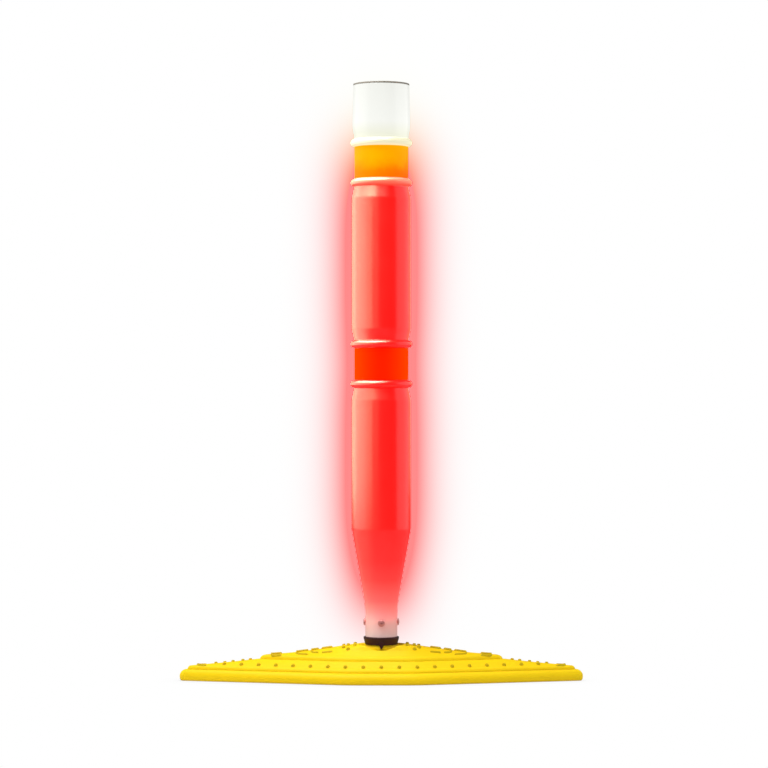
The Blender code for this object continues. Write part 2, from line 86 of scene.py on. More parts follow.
# lamp
LENS_FOOT_RADIUS = 45.7 * MM
LENS_FOOT_HEIGHT = 5 * MM
LENS_BELLY_HEIGHT = 19.0 * MM   # above the foot
LENS_FULL_BELOW = 2 * MM        # the lens keeps its full radius from this far below that height
LENS_FULL_ABOVE = 14 * MM       # to this far above it
LENS_WALL = 2.8 * MM
CAP_RIM = 2.6 * MM              # thickness of the cap at its edge
CAP_RIM_WIDTH = 1.9 * MM        # flat rim round the crowned middle
CAP_DIP = (2.6 * MM, 0.2 * MM)          # inside the rim: in from the edge, below the rim
CAP_CROWN_FOOT = (3.2 * MM, 0.5 * MM)   # in from the edge, above the rim
CAP_CROWN_DROP = 0.4 * MM               # from the middle to half of the radius
CAP_RING_WALL = 2.5 * MM                # of the ring under the cap

# plug
COLLAR_HEIGHT = 12.5 * MM
COLLAR_RADIUS = PLUG_HIGH[0]
COLLAR_LIP = 3.0 * MM           # height of its full width, at the top
COLLAR_FOOT_RADIUS = 27.0 * MM
COLLAR_KNEE = (0.9 * MM, 4.5 * MM)      # wider than the foot, above the foot
SPIGOT_RADIUS = 19.5 * MM
POINTER_LENGTH = 7.5 * MM
POINTER_WIDTH = 7.8 * MM
POINTER_THICKNESS = 1.8 * MM
POINTER_ROOT = 0.3 * MM         # how deep it starts inside the collar
POINTER_TOP = 0.45              # of the collar's height
LUG_REACH = 5.5 * MM
LUG_WIDTH = 12.0 * MM
LUG_BOTTOM = 20.0 * MM
LUG_HEIGHT = 8.0 * MM
LUG_ROOT = 2 * MM               # how deep it starts inside the spigot

# bolts
BOLT_HEAD_RADIUS = 5.8 * MM
BOLT_HEAD_HEIGHT = 3.0 * MM
BOLT_SHANK_RADIUS = 2.5 * MM
BOLT_SHANK_LENGTH = 12 * MM
BOLT_SOCKET_RADIUS = 2.0 * MM
BOLT_SOCKET_DEPTH = 1.6 * MM
BOLT_SOCKET_BEVEL = 0.25 * MM
BOLT_STEPS = 48

# base
BASE_FLAT_HALF = 57.0 * MM
BASE_TIP_HALF = 8.5 * MM
RIM_HEIGHT = 18.5 * MM
RIM_WIDEST_HEIGHT = 7.0 * MM
RIM_FOOT_INSET = 2.2 * MM
GROOVE_INSET = 13.0 * MM
GROOVE_WIDTH = 1.2 * MM
GROOVE_DEPTH = 1.2 * MM
MIDDLE_TIER_ROUND = (5.5 * MM, 7.2 * MM)    # how far its edge runs in and up
POINTER_GROOVE = (26.0 * MM, 30.8 * MM)     # inner and outer radius at its floor
POINTER_CLEARANCE = 1 * MM                  # under the pointer's tip
GROOVE_FLARE = 0.8                          # of the outer wall, outwards for each unit of height
SOCKET_RADIUS = 20.5 * MM
SOCKET_FLOOR = 9.0 * MM
# corners of the tiers above the rim: half length, half depth, half of the straight front, half of
# the blunt tip and height
MIDDLE_TIER_TOP = (262 * MM, 54.5 * MM, 55 * MM, 6.5 * MM, 29.2 * MM)
TOP_TIER_LEDGE = (
    (206 * MM, 47.4 * MM, 53.5 * MM, 6.5 * MM, 35.3 * MM),
    (203 * MM, 47.1 * MM, 53 * MM, 6.5 * MM, 35.3 * MM),
)
TOP_TIER_FOOT = (202 * MM, 47 * MM, 53 * MM, 6.5 * MM, 35.8 * MM)
TOP_TIER_ROUND = (11 * MM, 6 * MM, 6.8 * MM)    # how far it runs in, along and across, and up
SLOPE_CORNERS = (
    (152 * MM, 38.0 * MM, 53 * MM, 6.5 * MM, 45.4 * MM),
    (106 * MM, 30.9 * MM, 49 * MM, 6.5 * MM, 51.5 * MM),
    (53 * MM, 27.0 * MM, 44.2 * MM, 12 * MM, 58.5 * MM),
    (38 * MM, 26.2 * MM, 31 * MM, 12 * MM, BASE_HIGH[2]),
)

STUD_RADIUS = 2.9 * MM
STUD_HEIGHT = 2.6 * MM
STUD_ROOT = 1.2 * MM            # how deep it starts inside the rubber
STUD_FOOT = 0.9 * MM            # how far it spreads where it meets the rubber
STUD_PITCH = 29.6 * MM
STUD_LOOP = (281.0 * MM, 56.5 * MM, 55 * MM, 4 * MM)    # as the corners of a tier, without the height
RIDGE_STUDS = (218.0 * MM, 230.5 * MM, 247.0 * MM, 275.5 * MM)  # on the ridge, out from the post
RIB_WIDTH = 2.9 * MM
RIB_HEIGHT = 2.8 * MM
RIB_ROOT = 0.4 * MM             # how deep it starts inside the rubber
BAR_STEPS = 14
# raised U-shaped ribs, open towards the post: inner and outer end, out from the post, then how far
# each arm lies from the ridge: the upper arm, and the lower arm at the open and at the closed end
TIP_LOOP = (291 * MM, 306 * MM, -8.0 * MM, 8.0 * MM, 5.0 * MM)
SLOPE_LOOPS = (
    (165 * MM, 183 * MM, 2.0 * MM, 13.5 * MM, 10.0 * MM),
    (121 * MM, 141 * MM, 3.0 * MM, 19.5 * MM, 13.0 * MM),
    (104 * MM, 116 * MM, 4.0 * MM, 18.0 * MM, 14.0 * MM),
)
SLOPE_BARS = ((81 * MM, 100 * MM, 3.5 * MM, 3.5 * MM), (81 * MM, 99 * MM, 22.0 * MM, 19.5 * MM))
# four nubs on each quarter of the slopes beside the post, as (out from the post, from the ridge)
NUB_DIAMOND = ((43.5 * MM, 17 * MM), (55 * MM, 7 * MM), (55 * MM, 24 * MM), (62.5 * MM, 16 * MM))


# ---------------------------------------------------------------- colours and nodes
def linear(hex_colour):
    """An sRGB hex colour as a linear RGBA tuple."""
    channels = [int(hex_colour[i:i + 2], 16) / 255 for i in (1, 3, 5)]
    return tuple(c / 12.92 if c <= 0.04045 else ((c + 0.055) / 1.055) ** 2.4 for c in channels) + (1.0,)


def add_node(tree, kind, inputs=None, **settings):
    """A node with its settings; each input is a value, or a socket that feeds it."""
    made = tree.nodes.new(kind)
    for key, value in settings.items():
        setattr(made, key, value)
    for key, value in (inputs or {}).items():
        if isinstance(value, bpy.types.NodeSocket):
            tree.links.new(value, made.inputs[key])
        else:
            made.inputs[key].default_value = value
    return made


def set_stops(ramp, stops):
    """Gives a colour ramp its (position, hex colour) stops."""
    elements = ramp.color_ramp.elements
    while len(elements) > 1:
        elements.remove(elements[-1])
    elements[0].position = stops[0][0]
    elements[0].color = linear(stops[0][1])
    for position, colour in stops[1:]:
        elements.new(position).color = linear(colour)


def new_material(name):
    made = bpy.data.materials.new(name)
    made.use_nodes = True
    made.node_tree.nodes.clear()
    return made, made.node_tree


def to_output(tree, shader):
    output = add_node(tree, "ShaderNodeOutputMaterial")
    tree.links.new(shader.outputs[0], output.inputs["Surface"])


# ---------------------------------------------------------------- materials
def moulded_yellow_rubber(name, lean, rich):
    """Moulded natural rubber: dense yellow, soft sheen, a fine grain, with painted shade darkening its
    corners and creases.
    """
    made, tree = new_material(name)
    place = add_node(tree, "ShaderNodeTexCoord")
    cloud = add_node(tree, "ShaderNodeTexNoise", {
        "Vector": place.outputs["Object"], "Scale": 1 / (60 * MM), "Detail": 4.0, "Roughness": 0.55})
    # pigment that never mixes quite evenly
    pigment = add_node(tree, "ShaderNodeMix", {
        0: cloud.outputs["Fac"], 6: linear(lean), 7: linear(rich)}, data_type="RGBA")
    # painted shade: darker olive where the surface is occluded, in corners, creases and round the studs and
    # ribs
    corner = add_node(tree, "ShaderNodeAmbientOcclusion", {"Distance": 5 * MM}, samples=6)
    painted_crease_shade = add_node(tree, "ShaderNodeMapRange", {
        "Value": corner.outputs["AO"], "From Min": 0.30, "From Max": 0.85, "To Min": 0.6, "To Max": 0.0})
    shade_painted_pigment = add_node(tree, "ShaderNodeMix", {
        0: painted_crease_shade.outputs[0], 6: pigment.outputs[2], 7: linear("#B08C08")}, data_type="RGBA")
    # edges polished paler by handling
    bend = add_node(tree, "ShaderNodeNewGeometry")
    edge = add_node(tree, "ShaderNodeMapRange", {
        "Value": bend.outputs["Pointiness"], "From Min": 0.53, "From Max": 0.60, "To Max": 0.15})
    worn = add_node(tree, "ShaderNodeMix", {
        0: edge.outputs[0], 6: shade_painted_pigment.outputs[2], 7: linear("#FFE84A")}, data_type="RGBA")
    # the grain is 0.3 mm on the real thing, drawn at 1.6 mm so that it shows
    grain = add_node(tree, "ShaderNodeTexNoise", {
        "Vector": place.outputs["Object"], "Scale": 1 / (1.6 * MM), "Detail": 3.0, "Roughness": 0.6})
    sheen = add_node(tree, "ShaderNodeMapRange", {
        "Value": grain.outputs["Fac"], "To Min": 0.48, "To Max": 0.66})
    relief = add_node(tree, "ShaderNodeBump", {
        "Height": grain.outputs["Fac"], "Strength": 0.35, "Distance": 0.15 * MM})
    shader = add_node(tree, "ShaderNodeBsdfPrincipled", {
        "Base Color": worn.outputs[2], "Roughness": sheen.outputs[0], "Normal": relief.outputs[0],
        "IOR": 1.52, "Specular IOR Level": 0.18})
    to_output(tree, shader)
    return made


def lit_blown_polyethylene():
    """Blow-moulded translucent polyethylene, lit red from inside: deep even red where the light strip
    runs, fading to the plastic's own milky pink at the unlit neck and to cream beside the lamp."""
    made, tree = new_material("lit_blown_polyethylene")
    place = add_node(tree, "ShaderNodeTexCoord")
    apart = add_node(tree, "ShaderNodeSeparateXYZ", {"Vector": place.outputs["Object"]})
    share = add_node(tree, "ShaderNodeMath", {
        0: apart.outputs["Z"], 1: 1 / TUBE_HIGH[2]}, operation="MULTIPLY")
    plastic = add_node(tree, "ShaderNodeValToRGB", {"Fac": share.outputs[0]})
    set_stops(plastic, [(z / TUBE_HIGH[2], colour) for z, colour in (
        (0.073, "#AE9E9A"), (0.100, "#B4948F"), (0.113, "#C07A75"), (0.133, "#D05450"),
        (0.167, "#E0302C"), (0.200, "#E81C1A"), (0.250, "#E8100D"), (0.8190, "#E8100D"),
        (0.8250, "#E04030"), (0.8340, "#D88870"), (0.8860, "#807860"), (0.9150, "#807E72"))])
    light = add_node(tree, "ShaderNodeValToRGB", {"Fac": share.outputs[0]})
    set_stops(light, [(z / TUBE_HIGH[2], colour) for z, colour in (
        (0.073, "#8E6A69"), (0.093, "#A8605E"), (0.113, "#DC5654"), (0.133, "#FA423E"),
        (0.167, "#FF201E"), (0.200, "#FF0C0A"), (0.250, "#FC0604"), (0.8190, "#FC0604"),
        (0.8240, "#F84A38"), (0.8340, "#FA7050"), (0.8860, "#E0D8B4"), (0.9010, "#D4D0B0"))])
    # slow swirls left by the parison as it was blown
    swirl = add_node(tree, "ShaderNodeTexNoise", {
        "Vector": place.outputs["Object"], "Scale": 1 / (45 * MM), "Detail": 2.0})
    orange_peel = add_node(tree, "ShaderNodeTexNoise", {
        "Vector": place.outputs["Object"], "Scale": 1 / (3.5 * MM), "Detail": 2.0})
    waves = add_node(tree, "ShaderNodeBump", {
        "Height": swirl.outputs["Fac"], "Strength": 0.15, "Distance": 0.3 * MM})
    skin = add_node(tree, "ShaderNodeBump", {
        "Height": orange_peel.outputs["Fac"], "Strength": 0.05, "Distance": 0.03 * MM,
        "Normal": waves.outputs[0]})
    gloss = add_node(tree, "ShaderNodeMapRange", {
        "Value": swirl.outputs["Fac"], "From Min": 0.3, "From Max": 0.7, "To Min": 0.23, "To Max": 0.27})
    shader = add_node(tree, "ShaderNodeBsdfPrincipled", {
        "Base Color": plastic.outputs["Color"], "Roughness": gloss.outputs[0], "Normal": skin.outputs[0],
        "Emission Color": light.outputs["Color"], "Emission Strength": 1.0, "IOR": 1.51})
    to_output(tree, shader)
    return made


def backlit_red_film():
    """Red-orange sign film, lit from behind: flat glowing red, matte, turning orange to the sides."""
    made, tree = new_material("backlit_red_film")
    place = add_node(tree, "ShaderNodeTexCoord")
    # the film's lens pattern is 0.1 mm on the real thing, drawn at 1.8 mm so that it shows
    cells = add_node(tree, "ShaderNodeTexVoronoi", {
        "Vector": place.outputs["Object"], "Scale": 1 / (1.8 * MM)}, feature="DISTANCE_TO_EDGE")
    tone = add_node(tree, "ShaderNodeMapRange", {
        "Value": cells.outputs["Distance"], "From Max": 0.12, "To Min": 0.15, "To Max": 0.0})
    glow = add_node(tree, "ShaderNodeMix", {
        0: tone.outputs[0], 6: linear("#FC0800"), 7: linear("#F41200")}, data_type="RGBA")
    relief = add_node(tree, "ShaderNodeBump", {
        "Height": cells.outputs["Distance"], "Strength": 0.08, "Distance": 0.05 * MM})
    shader = add_node(tree, "ShaderNodeBsdfPrincipled", {
        "Base Color": linear("#F01A00"), "Roughness": 0.5, "Normal": relief.outputs[0],
        "Specular IOR Level": 0.0,
        "Emission Color": glow.outputs[2], "Emission Strength": 1.0})
    to_output(tree, shader)
    return made


def amber_polycarbonate():
    """Moulded amber polycarbonate over a lamp: warm yellow glow, with the red light of the lit tube below
    painted in, redder towards its foot.
    """
    made, tree = new_material("amber_polycarbonate")
    low, high = (corner[2] for corner in BANDS["amber_band"])
    place = add_node(tree, "ShaderNodeTexCoord")
    apart = add_node(tree, "ShaderNodeSeparateXYZ", {"Vector": place.outputs["Object"]})
    share = add_node(tree, "ShaderNodeMapRange", {
        "Value": apart.outputs["Z"], "From Min": low, "From Max": high})
    # streaks in the sleeve where the light catches uneven thickness
    streaks = add_node(tree, "ShaderNodeTexNoise", {
        "Vector": place.outputs["Object"], "Scale": 1 / (22 * MM), "Detail": 3.0, "Distortion": 0.6})
    shift = add_node(tree, "ShaderNodeMath", {
        0: streaks.outputs["Fac"], 1: 0.35, 2: -0.17}, operation="MULTIPLY_ADD")
    uneven = add_node(tree, "ShaderNodeMath", {
        0: share.outputs[0], 1: shift.outputs[0]}, operation="ADD")
    # painted light: the glow runs from red-orange at the foot to amber at the top, standing in for the tube's
    # red light below
    glow = add_node(tree, "ShaderNodeValToRGB", {"Fac": uneven.outputs[0]})
    set_stops(glow, (
        (0.0, "#E62800"), (0.22, "#F44600"), (0.42, "#FC7800"), (0.62, "#FC8C00"), (1.0, "#FA9600")))
    relief = add_node(tree, "ShaderNodeBump", {
        "Height": streaks.outputs["Fac"], "Strength": 0.2, "Distance": 0.2 * MM})
    shader = add_node(tree, "ShaderNodeBsdfPrincipled", {
        "Base Color": linear("#FF7C00"), "Roughness": 0.4, "Normal": relief.outputs[0],
        "Specular IOR Level": 0.02, "Emission Color": glow.outputs["Color"], "Emission Strength": 1.0})
    to_output(tree, shader)
    return made


def opal_polycarbonate():
    """Opal polycarbonate, lit: milky white, with amber light from the band below painted in as a faint warm
    tint at the foot.
    """
    made, tree = new_material("opal_polycarbonate")
    low, high = LENS_LOW[2], LENS_HIGH[2]
    place = add_node(tree, "ShaderNodeTexCoord")
    apart = add_node(tree, "ShaderNodeSeparateXYZ", {"Vector": place.outputs["Object"]})
    share = add_node(tree, "ShaderNodeMapRange", {
        "Value": apart.outputs["Z"], "From Min": low, "From Max": high})
    # the warmer stops at the foot are painted amber light from the band below
    glow = add_node(tree, "ShaderNodeValToRGB", {"Fac": share.outputs[0]})
    set_stops(glow, ((0.0, "#E4E5D0"), (0.12, "#E8E9DA"), (0.30, "#EAEBE6"), (1.0, "#E2E3DE")))
    haze = add_node(tree, "ShaderNodeTexNoise", {
        "Vector": place.outputs["Object"], "Scale": 1 / (30 * MM), "Detail": 2.0})
    milk = add_node(tree, "ShaderNodeMix", {
        0: haze.outputs["Fac"], 6: linear("#585854"), 7: linear("#5C5C58")}, data_type="RGBA")
    relief = add_node(tree, "ShaderNodeBump", {
        "Height": haze.outputs["Fac"], "Strength": 0.1, "Distance": 0.2 * MM})
    shader = add_node(tree, "ShaderNodeBsdfPrincipled", {
        "Base Color": milk.outputs[2], "Roughness": 0.3, "Normal": relief.outputs[0], "IOR": 1.58,
        "Emission Color": glow.outputs["Color"], "Emission Strength": 1.0})
    to_output(tree, shader)
    return made


def grey_abs():
    """Injection-moulded grey ABS: even warm grey, satin, with a faint grain."""
    made, tree = new_material("grey_abs")
    place = add_node(tree, "ShaderNodeTexCoord")
    grain = add_node(tree, "ShaderNodeTexNoise", {
        "Vector": place.outputs["Object"], "Scale": 1 / (2 * MM), "Detail": 2.0})
    tone = add_node(tree, "ShaderNodeMix", {
        0: grain.outputs["Fac"], 6: linear("#847D71"), 7: linear("#928B7E")}, data_type="RGBA")
    relief = add_node(tree, "ShaderNodeBump", {
        "Height": grain.outputs["Fac"], "Strength": 0.2, "Distance": 0.1 * MM})
    shader = add_node(tree, "ShaderNodeBsdfPrincipled", {
        "Base Color": tone.outputs[2], "Roughness": 0.35, "Normal": relief.outputs[0], "IOR": 1.54})
    to_output(tree, shader)
    return made


def glass_filled_nylon():
    """Glass-filled nylon, moulded: dark red-brown, satin, faintly mottled by its fibres."""
    made, tree = new_material("glass_filled_nylon")
    place = add_node(tree, "ShaderNodeTexCoord")
    # fibres 0.3 mm long, drawn at 1.2 mm so that they show
    fibres = add_node(tree, "ShaderNodeTexNoise", {
        "Vector": place.outputs["Object"], "Scale": 1 / (1.2 * MM), "Detail": 4.0, "Roughness": 0.7})
    tone = add_node(tree, "ShaderNodeMix", {
        0: fibres.outputs["Fac"], 6: linear("#320E0E"), 7: linear("#401817")}, data_type="RGBA")
    relief = add_node(tree, "ShaderNodeBump", {
        "Height": fibres.outputs["Fac"], "Strength": 0.3, "Distance": 0.08 * MM})
    shader = add_node(tree, "ShaderNodeBsdfPrincipled", {
        "Base Color": tone.outputs[2], "Roughness": 0.5, "Normal": relief.outputs[0], "IOR": 1.54,
        "Specular IOR Level": 0.25})
    to_output(tree, shader)
    return made


def zinc_plated_steel():
    """Zinc-plated steel: grey metal, slightly clouded, with the red light of the tube painted into its colour
    as a pink tint.
    """
    made, tree = new_material("zinc_plated_steel")
    place = add_node(tree, "ShaderNodeTexCoord")
    spangle = add_node(tree, "ShaderNodeTexNoise", {
        "Vector": place.outputs["Object"], "Scale": 1 / (2.5 * MM), "Detail": 3.0})
    # painted reflection: the pink tone stands in for the red light of the tube on the metal
    tone = add_node(tree, "ShaderNodeMix", {
        0: spangle.outputs["Fac"], 6: linear("#CC8280"), 7: linear("#DC9490")}, data_type="RGBA")
    shine = add_node(tree, "ShaderNodeMapRange", {
        "Value": spangle.outputs["Fac"], "To Min": 0.45, "To Max": 0.6})
    shader = add_node(tree, "ShaderNodeBsdfPrincipled", {
        "Base Color": tone.outputs[2], "Roughness": shine.outputs[0], "Metallic": 0.4})
    to_output(tree, shader)
    return made


# ---------------------------------------------------------------- shapes
def mesh_piece(name, bm, finish, sharp_angle=40):
    mesh = bpy.data.meshes.new(name)
    bmesh.ops.recalc_face_normals(bm, faces=bm.faces)
    bm.to_mesh(mesh)
    bm.free()
    mesh.shade_smooth()
    mesh.set_sharp_from_angle(angle=math.radians(sharp_angle))
    mesh.materials.append(finish)
    made = bpy.data.objects.new(name, mesh)
    bpy.context.scene.collection.objects.link(made)
    return made


def softened(corners, steps=6):
    """A path through (point, reach) corners, each turned into a curve that starts reach before it."""
    points = []
    for i, (corner, reach) in enumerate(corners):
        corner = Vector(corner)
        if reach == 0:
            points.append(corner)
            continue
        before = Vector(corners[i - 1][0])
        after = Vector(corners[(i + 1) % len(corners)][0])
        start = corner + (before - corner) * min(reach / (before - corner).length, 0.5)
        end = corner + (after - corner) * min(reach / (after - corner).length, 0.5)
        for step in range(steps + 1):
            t = step / steps
            points.append(start * (1 - t) ** 2 + corner * 2 * t * (1 - t) + end * t * t)
    return points


def turn(bm, profile, steps=TURNED_STEPS, place=Matrix()):
    """Turns a closed (radius, height) path about Z into bm; a radius of nought closes at the axis."""
    rings = []
    for radius, height in profile:
        if radius < 1e-7:
            rings.append([bm.verts.new(place @ Vector((0, 0, height)))])
            continue
        ring = []
        for i in range(steps):
            angle = 2 * math.pi * i / steps
            point = Vector((radius * math.cos(angle), radius * math.sin(angle), height))
            ring.append(bm.verts.new(place @ point))
        rings.append(ring)
    closed = len(rings[0]) > 1 or len(rings[-1]) > 1
    for lower, upper in zip(rings, rings[1:] + (rings[:1] if closed else [])):
        for i in range(steps):
            j = (i + 1) % steps
            corners = [
                lower[i % len(lower)], lower[j % len(lower)],
                upper[j % len(upper)], upper[i % len(upper)]]
            unique = list(dict.fromkeys(corners))
            if len(unique) > 2:
                bm.faces.new(unique)


def bead(centre_radius, centre_height, radius, steps=14):
    """The outer half of a round bead, from top to bottom."""
    angles = [math.pi / 2 - math.pi * i / steps for i in range(steps + 1)]
    return [((centre_radius + radius * math.cos(a), centre_height + radius * math.sin(a)), 0) for a in angles]


def applied_cut(piece, cutter):
    """Cuts one piece with another for good, and clears the cutter away."""
    boolean = piece.modifiers.new("cut", "BOOLEAN")
    boolean.operation = "DIFFERENCE"
    boolean.object = cutter
    graph = bpy.context.evaluated_depsgraph_get()
    mesh = bpy.data.meshes.new_from_object(piece.evaluated_get(graph))
    # slivers that the cut leaves where two edges meet are closed up
    bm = bmesh.new()
    bm.from_mesh(mesh)
    bmesh.ops.remove_doubles(bm, verts=bm.verts, dist=0.005 * MM)
    bmesh.ops.dissolve_degenerate(bm, edges=bm.edges, dist=0.005 * MM)
    bm.to_mesh(mesh)
    bm.free()
    piece.modifiers.clear()
    piece.data = mesh
    bpy.data.objects.remove(cutter, do_unlink=True)


# ---------------------------------------------------------------- tube
def build_tube(finish):
    """The blown tube in one piece: neck, cone, two straight lengths, two waists with rings, and mouth."""
    neck_bottom = TUBE_LOW[2]
    cone_bottom = neck_bottom + NECK_LENGTH
    tube_bottom = cone_bottom + CONE_LENGTH
    mouth_top = TUBE_HIGH[2]
    outer = []
    inner = []
    wall = TUBE_WALL
    for name in ("amber_band", "red_band"):
        low, high = BANDS[name][0][2] - SEAM, BANDS[name][1][2] + SEAM
        seat = WAIST_RADIUS - BAND_THICKNESS - SEAM
        ring_above = high + BEAD_RADIUS
        ring_below = low - BEAD_RADIUS
        if name == "amber_band":
            outer += [((MOUTH_RADIUS, mouth_top), 0.6 * MM), ((MOUTH_RADIUS, ring_above + BEAD_RADIUS), 0)]
            outer += bead(WAIST_RADIUS, ring_above, BEAD_RADIUS)
        else:
            outer += [((TUBE_RADIUS, ring_above + BEAD_RADIUS + SHOULDER_OVER_BAND), 1.5 * MM)]
            outer += [((WAIST_RADIUS, ring_above + BEAD_RADIUS), WAIST_EASING)]
            outer += bead(WAIST_RADIUS, ring_above, BEAD_RADIUS)[1:]
        outer += [((seat, high), 0), ((seat, low), 0)]
        outer += bead(WAIST_RADIUS, ring_below, BEAD_RADIUS)[:-1]
        outer += [((WAIST_RADIUS, ring_below - BEAD_RADIUS), WAIST_EASING)]
        outer += [((TUBE_RADIUS, ring_below - BEAD_RADIUS - SHOULDER_UNDER_BAND), 2.5 * MM)]
    outer += [((TUBE_RADIUS, tube_bottom), TUBE_FOOT_EASING), ((NECK_RADIUS, cone_bottom), CONE_FOOT_EASING)]
    outer += [((NECK_RADIUS, neck_bottom), 0.5 * MM)]
    inner += [((NECK_RADIUS - wall, neck_bottom), 0.5 * MM), ((NECK_RADIUS - wall, cone_bottom), 0)]
    inner += [((TUBE_RADIUS - wall, tube_bottom), 0)]
    inner += [((WAIST_RADIUS - wall - WAIST_THICKENING, BANDS["red_band"][0][2] - 2 * BEAD_RADIUS), 0)]
    inner += [((MOUTH_RADIUS - wall, mouth_top), 0.6 * MM)]
    bm = bmesh.new()
    turn(bm, softened(outer + inner))
    piece = mesh_piece("lit_tube_shell", bm, finish)
    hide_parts("tube_body")
    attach(piece, "post")
    return piece


def build_band(node, name, finish):
    """A plain sleeve that fills the waist between two rings."""
    low, high = (corner[2] for corner in BANDS[node])
    outer = BANDS[node][1][0]
    inner = outer - BAND_THICKNESS
    edge = 0.35 * MM
    bm = bmesh.new()
    turn(bm, softened([
        ((outer, high), edge), ((outer, low), edge), ((inner, low), 0), ((inner, high), 0)]))
    piece = mesh_piece(name, bm, finish)
    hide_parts(node)
    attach(piece, "post")
    return piece


# ---------------------------------------------------------------- lamp
def build_lens(finish):
    """The lamp's open cylinder, fuller above its foot, which sits over the tube's mouth."""
    low, high = LENS_LOW[2], LENS_HIGH[2]
    top_radius = CAP_HIGH[0]
    belly_radius = LENS_HIGH[0]
    belly = low + LENS_BELLY_HEIGHT
    profile = [
        ((top_radius, high), 0.4 * MM),
        ((belly_radius, belly + LENS_FULL_ABOVE), 12 * MM),
        ((belly_radius, belly - LENS_FULL_BELOW), 6 * MM),
        ((LENS_FOOT_RADIUS, low + LENS_FOOT_HEIGHT), 4 * MM),
        ((LENS_FOOT_RADIUS, low), 0.4 * MM),
        ((MOUTH_RADIUS + SEAM, low), 0),
        ((MOUTH_RADIUS + SEAM, TUBE_HIGH[2] + 1 * MM), 0),
        ((top_radius - LENS_WALL, belly), 3 * MM),
        ((top_radius - LENS_WALL, high), 0),
    ]
    bm = bmesh.new()
    turn(bm, softened(profile))
    piece = mesh_piece("opal_lens", bm, finish)
    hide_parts("lamp_lens")
    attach(piece, "post")


def build_cap(finish):
    """The thin disc that closes the lens, slightly crowned, with a ring under it that fits inside."""
    bottom = LENS_HIGH[2] + SEAM
    top = CAP_HIGH[2]
    rim_top = bottom + CAP_RIM
    radius = CAP_HIGH[0]
    ring = radius - LENS_WALL - SEAM
    profile = [
        ((0.0, top), 0),
        ((radius * 0.5, top - CAP_CROWN_DROP), 8 * MM),
        ((radius - CAP_CROWN_FOOT[0], rim_top + CAP_CROWN_FOOT[1]), 2 * MM),
        ((radius - CAP_DIP[0], rim_top - CAP_DIP[1]), 0.3 * MM),
        ((radius - CAP_RIM_WIDTH, rim_top), 0.4 * MM),
        ((radius, rim_top), 0.9 * MM),
        ((radius, bottom), 0.3 * MM),
        ((ring, bottom), 0),
        ((ring, CAP_LOW[2]), 0.5 * MM),
        ((ring - CAP_RING_WALL, CAP_LOW[2]), 0.5 * MM),
        ((ring - CAP_RING_WALL, bottom), 0),
        ((0.0, bottom), 0),
    ]
    bm = bmesh.new()
    turn(bm, softened(profile))
    piece = mesh_piece("lamp_cap_disc", bm, finish)
    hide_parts("lamp_cap")
    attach(piece, "post")


# ---------------------------------------------------------------- plug and bolts
def build_plug(finish):
    """Collar, spigot with two lugs below it, stub inside the neck above it, and the pointer in front."""
    bottom = BASE_HIGH[2] + SEAM
    collar_top = bottom + COLLAR_HEIGHT
    top = PLUG_HIGH[2]
    neck_bore = NECK_RADIUS - TUBE_WALL - SEAM
    profile = [
        ((0.0, top), 0),
        ((neck_bore, top), 1.5 * MM),
        ((neck_bore, collar_top), 0),
        ((COLLAR_RADIUS, collar_top), 1.0 * MM),
        ((COLLAR_RADIUS, collar_top - COLLAR_LIP), 1.2 * MM),
        ((COLLAR_FOOT_RADIUS + COLLAR_KNEE[0], bottom + COLLAR_KNEE[1]), 1.5 * MM),
        ((COLLAR_FOOT_RADIUS, bottom), 0.4 * MM),
        ((SPIGOT_RADIUS, bottom), 0),
        ((SPIGOT_RADIUS, PLUG_LOW[2]), 1.5 * MM),
        ((0.0, PLUG_LOW[2]), 0),
    ]
    bm = bmesh.new()
    turn(bm, softened(profile))

    # locking lugs, rounded blocks out of the spigot's sides
    for side in (-1, 1):
        lug = bmesh.ops.create_cube(bm, size=1.0)["verts"]
        depth = LUG_REACH + LUG_ROOT
        middle = side * (SPIGOT_RADIUS + LUG_REACH - depth / 2)
        size = Matrix.Diagonal((depth, LUG_WIDTH, LUG_HEIGHT, 1.0))
        place = Matrix.Translation((middle, 0, LUG_BOTTOM + LUG_HEIGHT / 2))
        bmesh.ops.transform(bm, matrix=place @ size, verts=lug)
        edges = list({edge for vert in lug for edge in vert.link_edges})
        bmesh.ops.bevel(bm, geom=edges, offset=1 * MM, segments=3, profile=0.5, affect="EDGES")

    # the pointer at the front: a shield with rounded shoulders that runs down to a tip
    root = bottom + COLLAR_HEIGHT * POINTER_TOP
    outline = softened([
        ((-POINTER_WIDTH / 2, root), 0.8 * MM),
        ((-POINTER_WIDTH / 2, bottom), 1.5 * MM),
        ((0.0, bottom - POINTER_LENGTH), 0.6 * MM),
        ((POINTER_WIDTH / 2, bottom), 1.5 * MM),
        ((POINTER_WIDTH / 2, root), 0.8 * MM),
    ], steps=4)
    shield = bm.faces.new([bm.verts.new((x, -COLLAR_FOOT_RADIUS + POINTER_ROOT, z)) for x, z in outline])
    grown = bmesh.ops.extrude_face_region(bm, geom=[shield])["geom"]
    front = [item for item in grown if isinstance(item, bmesh.types.BMVert)]
    bmesh.ops.translate(bm, vec=(0, -POINTER_THICKNESS - POINTER_ROOT, 0), verts=front)
    touching = {edge for vert in front for edge in vert.link_edges}
    rim = [edge for edge in touching if all(vert in front for vert in edge.verts)]
    bmesh.ops.bevel(bm, geom=rim, offset=0.5 * MM, segments=3, profile=0.5, affect="EDGES")

    piece = mesh_piece("twist_lock_collar", bm, finish)
    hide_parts("twist_lock_plug")
    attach(piece, "post")


